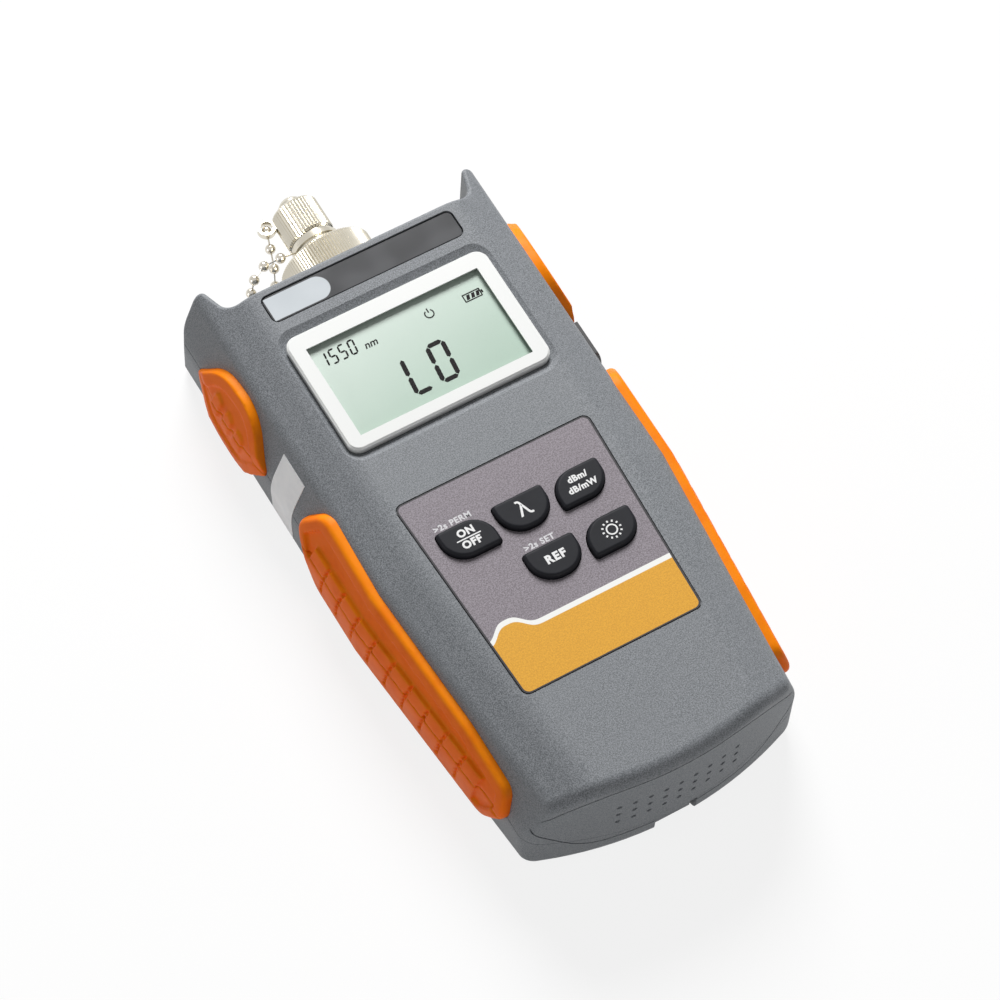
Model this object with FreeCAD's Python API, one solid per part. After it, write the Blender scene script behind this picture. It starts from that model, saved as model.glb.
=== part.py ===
"""Handheld optical power meter, built in millimetres with FreeCAD's Part module.

X runs across the case, +Y points to the optical port, +Z comes out of the display face.
The meter lies on its back. The parts are built round the middle of the display face and moved,
as they are written, so that the origin is the middle of the underside of the whole meter.
"""

import FreeCAD, Part
import math
import os

V = FreeCAD.Vector
ALONG_X, ALONG_Y, ALONG_Z = V(1, 0, 0), V(0, 1, 0), V(0, 0, 1)

# ---- case -----------------------------------------------------------------------------------------
CASE_DEPTH = 33.0          # underside to display face
CASE_HALF = 40.6           # half of the greatest width
CASE_TOP = 55.7            # wall that carries the port
CASE_END = -90.6           # crown of the bowed end
TAPER_START = -22.0        # below this the case narrows
TAPER_PER_MM = 0.087       # loss of half width for each millimetre
OVERLAP = 8.0              # how far each leaning half goes past the middle
END_BOW_RADIUS = 90.0
HORN_TIP, HORN_SHOULDER = 64.1, 59.4   # how far the two corner horns reach, and where they start to lean in
HORN_LEAN, HORN_WIDE, HORN_FLARE = 1.7, 5.1, 2.4
END_CORNER = 6.0           # plan rounding where the bowed end meets the sides
SIDE_SPARE = 0.05          # keeps that plan clear of the widest line of the sides
END_ROUND, HORN_ROUND = 3.0, 0.8
WALL = 2.0
SEAM = 14.5                # height of the joint between the shells
SEAM_END = 6.8             # height of that joint at the bowed end
SEAM_BEND = -72.0          # where the joint starts to drop
SEAM_GAP = 0.2
LIP = 1.0                  # tongue that closes the seam from inside
FIT = 0.1                  # clearance of pieces that drop into a seat
RUNNING_FIT = 0.06         # clearance round what turns or slides on a barrel
SEAT_GAP = 0.3             # clearance of covered pieces that only have to go in
REACH = 60.0               # longer than anything it cuts
SPARE = 10.0               # how far the plain forms run on past both ends
THROUGH = 1.0              # how far a cutter goes past the face it starts on
JOIN = 0.1                 # how far two forms of one piece run into each other
HAIR = 0.01                # tolerance when an edge is picked by its place

# ---- side grips -----------------------------------------------------------------------------------
GRIP_POCKET = 0.9          # depth of the moulded pocket
GRIP_PROUD = 2.0           # how far the rubber stands out
GRIP_ROUND = 1.4           # rounding of its outer edge
GRIP_RIM = 3.2             # width of the raised rim
GRIP_HOLLOW = 1.0          # depth inside the rim
PAD_COUNT, PAD_PITCH, PAD_GROOVE = 10, 6.75, 0.8
PAD_FIRST, PAD_LOW, PAD_HIGH, PAD_SLANT = -1.5, 5.0, 19.0, 2.2
SCALE_COUNT, SCALE_PITCH, SCALE_FIRST, SCALE_LOW, SCALE_RISE, SCALE_ROUND = 3, 5.0, 32.5, 9.0, 0.8, 1.2
LEAF_MIDDLE, LEAF_BOW, LEAF_PROUD, LEAF_HOLLOW = 38.0, 68.0, 2.0, 0.6

# ---- display --------------------------------------------------------------------------------------
VIEW_HALF, VIEW_HEIGHT, VIEW_MIDDLE = 22.15, 25.1, 24.2
BEZEL_HALF, BEZEL_LOW, BEZEL_HIGH, BEZEL_RADIUS = 26.1, 8.2, 41.3, 3.2
BEZEL_PROUD, BEZEL_LIP, BEZEL_GAP, BEZEL_BEVEL = 0.8, 0.35, 0.2, 0.45
MOAT_WIDTH, MOAT_DEPTH = 2.3, 1.1
LENS_THICK, LENS_BORDER, LCD_GAP = 0.8, 2.2, 0.15
LCD_BORDER, LCD_THICK = 2.05, 2.8
LEDGE_THICK = 0.7          # shelf in the case that carries the bezel
HOLDER_WALL = 1.5

# ---- name strip, keypad plate ----------------------------------------------------------------------
STRIP_HALF, STRIP_LOW, STRIP_HIGH, STRIP_RADIUS = 24.9, 46.2, 53.9, 1.8
STRIP_SINK, STRIP_THICK, STRIP_GAP = 1.1, 0.8, 0.4
PLATE_TOP, PLATE_BOTTOM = -7.3, -61.3
PLATE_TOP_HALF, PLATE_BOTTOM_HALF, PLATE_RADIUS = 25.0, 22.7, 2.0
PLATE_THICK, PLATE_GAP = 0.45, 0.25

# ---- keys ----------------------------------------------------------------------------------------
KEY_WIDE, KEY_TALL = 12.6, 8.4
KEY_SPACE = 1.6            # between two keys of a row
KEY_SHARP = 0.9            # radius of a pointed corner
KEY_SOFT = min(0.46 * KEY_WIDE, 0.69 * KEY_TALL)   # radius of a round corner
KEY_PROUD, KEY_EDGE = 1.4, 0.5
KEY_GAP = 0.25
KEY_TRAVEL, KEY_REST = 0.8, 0.15   # stroke, and what stays between stem and dome at its end
KEY_FLANGE, KEY_FLANGE_THICK, KEY_FLANGE_GAP = 0.6, 1.0, 0.2
KEY_STEM = 2.0
KEY_ROW_1, KEY_ROW_2, KEY_COLUMN = -22.3, -35.9, KEY_WIDE + KEY_SPACE
LEAN_LEFT, LEAN_RIGHT, SHIELD = "lean_left", "lean_right", "shield"
KEYS = {
    "key_power": (-KEY_COLUMN, KEY_ROW_1, LEAN_LEFT),
    "key_wavelength": (0.0, KEY_ROW_1, SHIELD),
    "key_unit": (KEY_COLUMN, KEY_ROW_1, LEAN_RIGHT),
    "key_reference": (0.0, KEY_ROW_2, SHIELD),
    "key_backlight": (KEY_COLUMN, KEY_ROW_2, LEAN_RIGHT),
}

# ---- electronics ----------------------------------------------------------------------------------
BOARD_SINK, BOARD_THICK = 9.0, 1.6   # below the display face
BOARD_TOP = CASE_DEPTH - BOARD_SINK
BOARD_HALF, BOARD_LOW, BOARD_HIGH = 26.5, -62.0, 48.0
DOME_RADIUS, DOME_TALL, DOME_SIDES = 3.0, 0.6, 8
MAT_HALF, MAT_THICK = 24.0, 1.1
BOARD_SCREW, BOARD_SCREW_HEAD, BOARD_SCREW_BITE = 1.1, 1.2, 5.0
BOARD_SCREWS = [(-24.0, 45.2), (24.0, 45.2), (-24.0, -59.0), (24.0, -59.0)]
BOARD_BOSS = 2.4

# ---- batteries and their door ------------------------------------------------------------------------
CELL_RADIUS, CELL_LONG, CELL_NUB, CELL_NUB_RADIUS = 7.2, 49.5, 1.0, 2.7
CELL_PITCH, CELL_FLOOR = 14.9, 2.2
BAY_HALF, BAY_LOW, BAY_HIGH, BAY_ROOF = 22.8, -80.6, -26.4, 17.4
BAY_WALL = 1.4
CELL_START = 1.4           # room for the contacts at the lower end of the bay
CONTACT_WIDE, CONTACT_THICK, CONTACT_PAD, CONTACT_GAP = 9.0, 0.4, 2.2, 0.15
DOOR_BORDER, DOOR_THICK, DOOR_RADIUS = 1.7, 1.4, 3.0
LATCH_HALF, LATCH_TALL, LATCH_THICK, LATCH_SINK = 5.0, 6.0, 2.2, 1.9
NOTCH_TALL, LATCH_ROUND = 8.0, 1.5
TAB_IN, TAB_OUT, TAB_REACH, TAB_THICK, TAB_HEADROOM = 9.0, 15.0, 1.5, 0.8, 0.9

# ---- screws that hold the shells --------------------------------------------------------------------
SCREWS = [(s * (CASE_HALF - inset), y) for inset, y in ((9.0, 44.0), (11.0, -64.0)) for s in (-1, 1)]
SCREW_RADIUS, SCREW_HEAD, SCREW_HEAD_TALL, SCREW_LONG = 1.25, 2.4, 1.6, 20.0
POST_RADIUS, SCREW_SINK, SCREW_FIT = 3.2, 3.0, 0.15
FLOOR_SINK = 0.5           # how far posts and walls run into the floor they stand on

# ---- optical port -----------------------------------------------------------------------------------
PORT_X, PORT_Z = -1.05, SEAM
PORT_MIDDLE = (PORT_X, PORT_Z)
FLANGE_RADIUS, FLANGE_THICK = 10.0, 1.8
BARREL_RADIUS, BARREL_END = 8.0, 63.6
RING_RADIUS, RING_START, RING_END, RING_TEETH, RING_TOOTH = 11.6, 56.7, 65.8, 96, 0.32
NECK_RADIUS, NECK_END = 5.5, 71.2
NOSE_RADIUS, NOSE_END = 4.0, 78.4
SLEEVE_RADIUS, SLEEVE_START, SLEEVE_END = 2.0, 66.0, 78.0
SLEEVE_FIT = 0.02
FERRULE_RADIUS, STOP_RADIUS = 1.25, 0.9
CAN_RADIUS, CAN_LONG, CAN_RIM, CAN_RIM_THICK, CAN_ROOF, CAN_WINDOW = 2.7, 3.6, 0.25, 0.5, 1.6, 1.9
LEAD_RADIUS, LEAD_PITCH, LEAD_FIT, LEAD_PROUD = 0.25, 1.2, 0.05, 0.5
CARD_HALF, CARD_TALL, CARD_THICK, CARD_Y = 9.0, 15.0, 1.4, 48.0
CAP_RADIUS, CAP_START, CAP_END, CAP_TEETH, CAP_TOOTH = 5.9, 71.5, 80.7, 44, 0.3
CAP_BORE, CAP_BEVEL, RING_BEVEL = 4.3, 0.5, 0.6
STUD_RADIUS, STUD_TALL, STUD_DOME = 3.0, 3.3, 3.6
EYE_RADIUS, EYE_BORE, EYE_LONG, EYE_LUG, EYE_X, EYE_Y = 2.2, 1.5, 1.8, 1.5, -8.9, 79.2
CHAIN_BALL, CHAIN_WIRE, END_BEAD, BEAD_SIDES, WIRE_SIDES = 1.25, 0.4, 0.9, 8, 5
CHAIN = [(EYE_X, EYE_Y, 13.75), (-10.1, 75.2, 12.3), (-11.1, 71.6, 9.6), (-12.2, 69.0, 6.4),
         (-13.9, 66.7, 3.4), (-17.2, 64.8, 1.4), (-20.6, 66.6, 1.5), (-20.4, 68.6, 4.7),
         (-18.5, 69.2, 7.9), (-17.0, 70.4, 10.9), (-14.2, 70.8, 14.2), (-10.4, 69.8, 16.2)]
LOOP_WIRE, LOOP_GAP = 0.5, 0.03
LINK_SINK = 0.1            # how far a wire goes into its bead

# ---- socket and its rubber cover ----------------------------------------------------------------------
COVER_LOW, COVER_HIGH, COVER_Z, COVER_TALL, COVER_PROUD, COVER_DEEP = 11.0, 20.4, 16.0, 8.0, 0.9, 1.2
SOCKET_WIDE, SOCKET_TALL, SOCKET_DEEP, SOCKET_SHELL = 7.7, 4.0, 9.0, 0.4
SOCKET_BACK, COVER_BASE = 1.0, 8.0

# ---- seal label, end panel --------------------------------------------------------------------------
LABEL_LOW, LABEL_HIGH, LABEL_BOTTOM, LABEL_TOP, LABEL_THICK = 10.4, 19.9, 3.5, 25.2, 0.12
DIMPLE_COLUMNS, DIMPLE_ROWS, DIMPLE_PITCH, DIMPLE_ROW, DIMPLE_RADIUS = 9, 3, 3.75, 3.6, 0.8
DIMPLE_DEEP, DIMPLE_Z, DIMPLE_DROP, DIMPLE_SIDES, DIMPLE_START = 0.6, 20.5, 0.035, 8, 0.3
PANEL_HALF, PANEL_SHOULDER, PANEL_GROOVE = 36.0, 22.0, 0.35
PANEL_TOP, PANEL_MIDDLE, PANEL_BOTTOM = 29.6, 19.0, 6.2

ORIGIN_SHIFT = V(0, -(CAP_END + STUD_TALL + CASE_END) / 2, 0)


# ---- drawing helpers ----------------------------------------------------------------------------------
def rounded(corners, place):
    """A closed wire through (u, v, radius) corners, each set in space by place(u, v)."""
    count, ends, edges = len(corners), [], []
    for i, (u, v, radius) in enumerate(corners):
        here = V(u, v, 0)
        back = (V(*corners[i - 1][:2], 0) - here).normalize()
        ahead = (V(*corners[(i + 1) % count][:2], 0) - here).normalize()
        half = back.getAngle(ahead) / 2
        run = radius / math.tan(half)
        middle = here + (back + ahead).normalize() * (radius / math.sin(half) - radius)
        ends.append((here + back * run, middle, here + ahead * run, radius))
    for i, (start, middle, stop, radius) in enumerate(ends):
        if radius > 0:
            edges.append(Part.Arc(place(start), place(middle), place(stop)).toShape())
        after = ends[(i + 1) % count][0]
        if (after - stop).Length > 1e-6:
            edges.append(Part.LineSegment(place(stop), place(after)).toShape())
    return Part.Wire(edges)


def flat(z=0.0):
    return lambda p: V(p.x, p.y, z)


def side(x=0.0):
    return lambda p: V(x, p.x, p.y)


def across(y=0.0):
    return lambda p: V(p.x, y, p.y)


def pillar(corners, low, high):
    return Part.Face(rounded(corners, flat(low))).extrude(V(0, 0, high - low))


def block(low, high):
    return Part.makeBox(high[0] - low[0], high[1] - low[1], high[2] - low[2], V(*low))


def rod(radius, start, end, centre=PORT_MIDDLE):
    return Part.makeCylinder(radius, end - start, V(centre[0], start, centre[1]), ALONG_Y)


def post(radius, low, high, centre):
    return Part.makeCylinder(radius, high - low, V(centre[0], centre[1], low), ALONG_Z)


def rectangle(half, low, high, radius, grow=0.0):
    a, b, c, r = half + grow, low - grow, high + grow, max(radius + grow, 0.0)
    return [(-a, b, r), (a, b, r), (a, c, r), (-a, c, r)]


def mirrored(corners):
    return [(-u, v, radius) for u, v, radius in reversed(corners)]


def both_sides(shape):
    return [shape, shape.mirror(V(0, 0, 0), ALONG_X)]


def joined(shapes):
    return shapes[0].multiFuse(shapes[1:]) if len(shapes) > 1 else shapes[0]


def ring_of(count, radius, centre, first, second):
    """Points evenly round a circle that lies in the plane of two directions."""
    turns = [2 * math.pi * i / count for i in range(count)]
    return [centre + first * (radius * math.cos(a)) + second * (radius * math.sin(a)) for a in turns]


def faceted(rings):
    """A solid with flat faces, drawn from each ring of points to the next."""
    outlines = [rings[0], rings[-1]]
    for lower, upper in zip(rings, rings[1:]):
        outlines += [[lower[i - 1], lower[i], upper[i], upper[i - 1]] for i in range(len(lower))]
    shell = Part.makeShell([Part.Face(Part.makePolygon(points + points[:1])) for points in outlines])
    shell.sewShape()
    solid = Part.makeSolid(shell)
    if solid.Volume < 0:
        solid.reverse()
    return solid


# ---- the moulded case form -----------------------------------------------------------------------------
def half_width(y):
    return CASE_HALF - TAPER_PER_MM * max(0.0, TAPER_START - y)


def section(grow, whole):
    """Cross-section of the case: flat face, sloping shoulders, crowned sides, flat underside.

    The right half, which goes a little past the middle, can be had alone.
    """
    w, top = CASE_HALF, CASE_DEPTH
    right = [(w - 13.5, top, 12.0), (w - 4.6, top - 4.7, 4.5), (w, SEAM, 22.0), (w - 0.9, 0.0, 3.4)]
    rest = mirrored(right) if whole else [(-OVERLAP, 0.0, 0.0), (-OVERLAP, top, 0.0)]
    wire = rounded(right + rest, across(TAPER_START))
    return wire.makeOffset2D(grow) if grow else wire


def barrel(grow=0.0):
    """The case form without its ends, grown or shrunk all round. Its sides lean in to the bowed end."""
    run = TAPER_START - CASE_END + SPARE
    straight = Part.Face(section(grow, True)).extrude(V(0, HORN_TIP + SPARE - TAPER_START, 0))
    leaning = Part.Face(section(grow, False)).extrude(V(-TAPER_PER_MM * run, -run, 0))
    return joined([straight] + both_sides(leaning)).removeSplitter()


def end_bow(grow=0.0):
    """Plan of the case below the horns: bowed end, rounded corners, tapering sides."""
    radius, far, near = END_BOW_RADIUS + grow, HORN_TIP + SPARE, CASE_END - SPARE
    low, high = -REACH / 2, 1.5 * REACH
    disc = Part.makeCylinder(radius, high - low, V(0, CASE_END + END_BOW_RADIUS, low))
    ahead = block((-REACH, TAPER_START, low), (REACH, far, high))
    straight, narrow = half_width(0.0) + grow + SIDE_SPARE, half_width(near) + grow + SIDE_SPARE
    right = [(narrow, near, 0), (straight, TAPER_START, 0), (straight, far, 0)]
    plan = disc.fuse(ahead).common(pillar(right + mirrored(right), low, high))
    corners = [e for e in plan.Edges if e.BoundBox.ZLength > REACH and e.BoundBox.YMax < TAPER_START - HAIR]
    return plan.makeFillet(END_CORNER + grow, corners)


def horned_plan():
    outer = CASE_HALF - HORN_LEAN
    inner = outer - HORN_WIDE
    right = [(CASE_HALF + 0.8, HORN_SHOULDER, 0.0), (outer, HORN_TIP - 0.3, 2.4), (inner, HORN_TIP, 1.7),
             (inner - HORN_FLARE, CASE_TOP, 4.0)]
    start = [(REACH, CASE_END - 2 * SPARE, 0), (REACH, CASE_TOP, 0)]
    return pillar(start + right + mirrored(right) + mirrored(start), -REACH, REACH)


def is_on(edge, vertical):
    """True for an edge that only runs up and down, when vertical is asked, or for any other."""
    box = edge.BoundBox
    upright = box.XMax - box.XMin < 0.01 and box.YMax - box.YMin < 0.01
    return upright == vertical


def end_rim(shape):
    """Edges between the bowed end and the rest: none lies farther in than where it meets the sides."""
    depth = END_BOW_RADIUS - math.sqrt(END_BOW_RADIUS ** 2 - CASE_HALF ** 2)
    return [e for e in shape.Edges if e.BoundBox.YMax < CASE_END + depth + END_CORNER / 2]


def port_rim(shape):
    return [e for e in shape.Edges if e.BoundBox.YMin > CASE_TOP - THROUGH and is_on(e, False)]


def case_form():
    return barrel().common(horned_plan()).common(end_bow())


def cavity():
    walls = block((-REACH, CASE_END, -REACH), (REACH, CASE_TOP - WALL, REACH))
    return barrel(-WALL).common(end_bow(-WALL)).common(walls)


def below_seam(shift=0.0):
    """Everything under the joint, which drops in an arc towards the bowed end."""
    run, drop = SEAM_BEND - CASE_END, SEAM - SEAM_END
    radius = (run * run + drop * drop) / (2 * drop)
    far, last = HORN_TIP + 5.0, CASE_END - 4.0

    def at(y, z=None):
        on_arc = SEAM - radius + math.sqrt(radius ** 2 - (SEAM_BEND - y) ** 2) if z is None else z
        return V(-REACH, y, on_arc)

    arc = Part.Arc(at(SEAM_BEND), at((SEAM_BEND + last) / 2), at(last)).toShape()
    rest = Part.makePolygon([at(last), at(last, -REACH), at(far, -REACH), at(far, SEAM), at(SEAM_BEND)])
    solid = Part.Face(Part.Wire([arc] + rest.Edges)).extrude(V(2 * REACH, 0, 0))
    solid.translate(V(0, 0, shift))
    return solid


# ---- side grips ---------------------------------------------------------------------------------------
def lower_grip_outline(grow=0.0):
    corners = [(0.8, 28.0, 6.0), (7.2, 18.6, 4.0), (-3.0, 3.8, 6.0), (-70.0, 3.6, 6.0), (-77.6, 15.0, 5.0),
               (-75.2, 22.8, 4.0), (-58.0, 25.4, 30.0)]
    wire = rounded(corners, side())
    return wire.makeOffset2D(grow) if grow else wire


def upper_grip_outline(grow=0.0):
    corners = [(54.6, 13.6, 2.5), (45.5, 25.0, 12.0), (31.5, 26.2, 12.0), (21.6, 14.6, 2.5),
               (31.5, 2.6, 12.0), (45.5, 2.6, 12.0)]
    wire = rounded(corners, side())
    return wire.makeOffset2D(grow) if grow else wire


def side_region(wire):
    """Everything to the right of the middle that lies behind an outline drawn on the side."""
    return Part.Face(wire).extrude(V(REACH, 0, 0))


def pads():
    """The raised pads of the lower grip. The gaps between them are its grooves."""
    bars = []
    for i in range(PAD_COUNT):
        y, wide = PAD_FIRST - i * PAD_PITCH, PAD_PITCH - PAD_GROOVE
        corners = [(y, PAD_HIGH, 0), (y - wide, PAD_HIGH, 0), (y - wide + PAD_SLANT, PAD_LOW, 0),
                   (y + PAD_SLANT, PAD_LOW, 0)]
        bars.append(side_region(rounded(corners, side())))
    return Part.makeCompound(bars)


def scales():
    """The three small raised scales of the upper grip."""
    bars = []
    for i in range(SCALE_COUNT):
        y, z = SCALE_FIRST + i * SCALE_PITCH, SCALE_LOW + i * SCALE_RISE
        corners = [(y, z, SCALE_ROUND), (y + 3.2, z + 2.0, SCALE_ROUND), (y + 1.6, z + 9.0, SCALE_ROUND),
                   (y - 1.4, z + 7.5, SCALE_ROUND)]
        bars.append(side_region(rounded(corners, side())))
    return Part.makeCompound(bars)


def outer_edges(shape, skin):
    """Sharp edges of a shape that lie wholly outside a skin."""
    chosen = []
    for edge in shape.Edges:
        first, last = edge.FirstParameter, edge.LastParameter
        spots = [edge.valueAt(t) for t in (first, (first + last) / 2, last)]
        faces = [f for f in shape.Faces if any(edge.isSame(e) for e in f.Edges)]
        if len(faces) == 2 and not any(skin.isInside(p, 1e-3, True) for p in spots):
            a, b = (f.normalAt(*f.Surface.parameter(spots[1])) for f in faces)
            if abs(a.dot(b)) < 0.6:
                chosen.append(edge)
    return chosen


def leaf_skin(drop=0.0):
    """The outside of the upper grip, which swells in the middle of its length."""
    axis = V(CASE_HALF + LEAF_PROUD - LEAF_BOW, LEAF_MIDDLE, -REACH / 2)
    return barrel(LEAF_PROUD - drop).common(Part.makeCylinder(LEAF_BOW - drop, 2 * REACH, axis))


def top_edges(shape, top):
    return [e for e in shape.Edges if e.BoundBox.ZMin > top - HAIR]


def inlay(outline, pocket, proud):
    return side_region(outline(-FIT / 2)).common(proud).cut(pocket)


def scoop(outline, hollow, relief):
    """What is taken out inside a grip's raised rim. The relief is left standing."""
    return side_region(outline(-GRIP_RIM)).cut(hollow).cut(relief)


def split_at_seam(shape):
    rear = shape.common(below_seam(-SEAM_GAP / 2))
    return shape.cut(below_seam(SEAM_GAP / 2)), rear


def grips(pocket):
    parts = {}
    lower = inlay(lower_grip_outline, pocket, barrel(GRIP_PROUD))
    lower = lower.makeFillet(GRIP_ROUND, outer_edges(lower, barrel(GRIP_PROUD / 2)))
    lower = lower.cut(scoop(lower_grip_outline, barrel(GRIP_PROUD - GRIP_HOLLOW), pads()))
    upper = inlay(upper_grip_outline, pocket, leaf_skin())
    upper = upper.cut(scoop(upper_grip_outline, leaf_skin(LEAF_HOLLOW), scales()))
    made = {"lower": lower, "upper": upper}
    for place, shape in made.items():
        for half, piece in zip(("front", "rear"), split_at_seam(shape)):
            right, left = both_sides(piece)
            parts[f"grip_{place}_right_{half}"] = right
            parts[f"grip_{place}_left_{half}"] = left
    return parts


def grip_pockets(pocket):
    regions = [side_region(lower_grip_outline()), side_region(upper_grip_outline())]
    return Part.makeCompound([s for r in regions for s in both_sides(r.cut(pocket))])


# ---- display -------------------------------------------------------------------------------------------
def bezel_corners(grow=0.0):
    return rectangle(BEZEL_HALF, BEZEL_LOW, BEZEL_HIGH, BEZEL_RADIUS, grow)


def boxed(grow, low, high):
    """A plain box round the display's view, grown by a border."""
    return block((-VIEW_HALF - grow, VIEW_MIDDLE - VIEW_HEIGHT / 2 - grow, low),
                 (VIEW_HALF + grow, VIEW_MIDDLE + VIEW_HEIGHT / 2 + grow, high))


BEZEL_TOP = CASE_DEPTH + BEZEL_PROUD
BEZEL_SEAT = CASE_DEPTH - WALL + LEDGE_THICK
LENS_TOP = BEZEL_TOP - BEZEL_LIP
LCD_TOP = LENS_TOP - LENS_THICK - LCD_GAP


def display():
    frame = pillar(bezel_corners(-BEZEL_GAP), BEZEL_SEAT, BEZEL_TOP)
    frame = frame.makeChamfer(BEZEL_BEVEL, top_edges(frame, BEZEL_TOP))
    frame = frame.cut(boxed(0.0, 0, REACH))
    frame = frame.cut(boxed(LENS_BORDER, 0, LENS_TOP))
    lens = boxed(LENS_BORDER - FIT, LENS_TOP - LENS_THICK, LENS_TOP)
    lcd = boxed(LCD_BORDER, LCD_TOP - LCD_THICK, LCD_TOP)
    light = boxed(LCD_BORDER, BOARD_TOP, LCD_TOP - LCD_THICK)
    holder = boxed(LCD_BORDER + FIT + HOLDER_WALL, BOARD_TOP, CASE_DEPTH - WALL - SEAT_GAP)
    holder = holder.cut(boxed(LCD_BORDER + FIT, 0, REACH))
    return {"display_bezel": frame, "display_lens": lens, "lcd_panel": lcd, "backlight_guide": light,
            "display_holder": holder}


def display_opening():
    upper = rounded(bezel_corners(MOAT_WIDTH), flat(CASE_DEPTH + HAIR))
    lower = rounded(bezel_corners(), flat(CASE_DEPTH - MOAT_DEPTH))
    moat = Part.makeLoft([lower, upper], True, True)
    seat = pillar(bezel_corners(), BEZEL_SEAT, REACH)
    through = boxed(LENS_BORDER + 2 * FIT, CASE_DEPTH - 2 * WALL - THROUGH, REACH)
    return joined([moat, seat, through])


# ---- keypad --------------------------------------------------------------------------------------------
def key_corners(name, grow=0.0):
    x, y, kind = KEYS[name]
    a, b = KEY_WIDE / 2 + grow, KEY_TALL / 2 + grow
    soft, sharp = KEY_SOFT + grow, KEY_SHARP + grow
    radii = {LEAN_LEFT: (soft, sharp, soft, sharp), LEAN_RIGHT: (sharp, soft, sharp, soft),
             SHIELD: (soft, soft, sharp, sharp)}[kind]   # lower left, lower right, upper right, upper left
    signs = [(-1, -1), (1, -1), (1, 1), (-1, 1)]
    return [(x + i * a, y + j * b, r) for (i, j), r in zip(signs, radii)]


def keys():
    parts, top = {}, CASE_DEPTH + KEY_PROUD
    flange_top = CASE_DEPTH - WALL - KEY_FLANGE_GAP
    flange_low = flange_top - KEY_FLANGE_THICK
    for name, (x, y, _) in KEYS.items():
        cap = pillar(key_corners(name), flange_low, top)
        cap = cap.makeChamfer(KEY_EDGE, top_edges(cap, top))
        flange = pillar(key_corners(name, KEY_FLANGE), flange_low, flange_top)
        stem = post(KEY_STEM, BOARD_TOP + DOME_TALL + KEY_TRAVEL + KEY_REST, flange_low, (x, y))
        parts[name] = joined([cap, flange, stem])
    return parts


def key_holes(low):
    return Part.makeCompound([pillar(key_corners(name, KEY_GAP), low, REACH) for name in KEYS])


def plate_corners(grow=0.0):
    t, b = PLATE_TOP_HALF + grow, PLATE_BOTTOM_HALF + grow
    low, high, r = PLATE_BOTTOM - grow, PLATE_TOP + grow, PLATE_RADIUS + grow
    return [(-b, low, r), (b, low, r), (t, high, r), (-t, high, r)]


def keypad_plate():
    plate = pillar(plate_corners(-PLATE_GAP), CASE_DEPTH - PLATE_THICK, CASE_DEPTH)
    return plate.cut(key_holes(CASE_DEPTH - WALL))


def name_strip():
    floor = CASE_DEPTH - STRIP_SINK
    corners = rectangle(STRIP_HALF, STRIP_LOW, STRIP_HIGH, STRIP_RADIUS, -STRIP_GAP)
    return pillar(corners, floor, floor + STRIP_THICK)


def keypad_mat():
    low, high = KEY_ROW_2 - KEY_TALL, KEY_ROW_1 + KEY_TALL
    mat = block((-MAT_HALF, low, BOARD_TOP), (MAT_HALF, high, BOARD_TOP + MAT_THICK))
    holes = [post(DOME_RADIUS + SEAT_GAP, BOARD_TOP - THROUGH, REACH, (x, y)) for x, y, _ in KEYS.values()]
    return mat.cut(Part.makeCompound(holes))


def domes():
    shapes = []
    steps = ((DOME_RADIUS, 0.0), (DOME_RADIUS, DOME_TALL / 2), (DOME_RADIUS / 2, DOME_TALL))
    for x, y, _ in KEYS.values():
        rings = [ring_of(DOME_SIDES, r, V(x, y, BOARD_TOP + z), ALONG_X, ALONG_Y) for r, z in steps]
        shapes.append(faceted(rings))
    return Part.makeCompound(shapes)


# ---- circuit board --------------------------------------------------------------------------------------
def board():
    low = BOARD_TOP - BOARD_THICK
    plate = block((-BOARD_HALF, BOARD_LOW, low), (BOARD_HALF, BOARD_HIGH, BOARD_TOP))
    holes, screws = [], []
    for c in BOARD_SCREWS:
        holes.append(post(BOARD_SCREW + FIT, low - THROUGH, BOARD_TOP + THROUGH, c))
        head = post(2 * BOARD_SCREW, low - BOARD_SCREW_HEAD, low, c)
        screws.append(head.fuse(post(BOARD_SCREW, low - JOIN, BOARD_TOP + BOARD_SCREW_BITE, c)))
    return {"main_board": plate.cut(Part.makeCompound(holes)), "board_screws": Part.makeCompound(screws)}


# ---- end panel -------------------------------------------------------------------------------------------
def panel_region(grow=0.0):
    right = [(PANEL_SHOULDER, PANEL_BOTTOM, 14.0), (PANEL_HALF, PANEL_MIDDLE, 4.5),
             (PANEL_SHOULDER, PANEL_TOP, 30.0)]
    wire = rounded(right + mirrored(right), across(CASE_END - 5))
    return Part.Face(wire.makeOffset2D(grow) if grow else wire).extrude(V(0, 25, 0))


def panel_groove():
    """Thin groove that draws an eye on the bowed end."""
    return panel_region(PANEL_GROOVE).cut(panel_region()).cut(end_bow(-PANEL_GROOVE))


def dimples():
    """Rows of small tapering pits across the bowed end."""
    holes = []
    steps = ((DIMPLE_RADIUS, -DIMPLE_START), (DIMPLE_RADIUS / 2, DIMPLE_DEEP))
    for i in range(DIMPLE_COLUMNS):
        x = (i - (DIMPLE_COLUMNS - 1) / 2) * DIMPLE_PITCH
        y = CASE_END + END_BOW_RADIUS - math.sqrt(END_BOW_RADIUS ** 2 - x * x)
        for j in range(DIMPLE_ROWS):
            z = DIMPLE_Z - j * DIMPLE_ROW + DIMPLE_DROP * abs(x)
            rings = [ring_of(DIMPLE_SIDES, r, V(x, y + d, z), ALONG_X, ALONG_Z) for r, d in steps]
            holes.append(faceted(rings))
    return Part.makeCompound(holes)


# ---- battery bay and door --------------------------------------------------------------------------------
def bay_box(grow, low, high):
    return block((-BAY_HALF - grow, BAY_LOW - grow, low), (BAY_HALF + grow, BAY_HIGH + grow, high))


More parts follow.
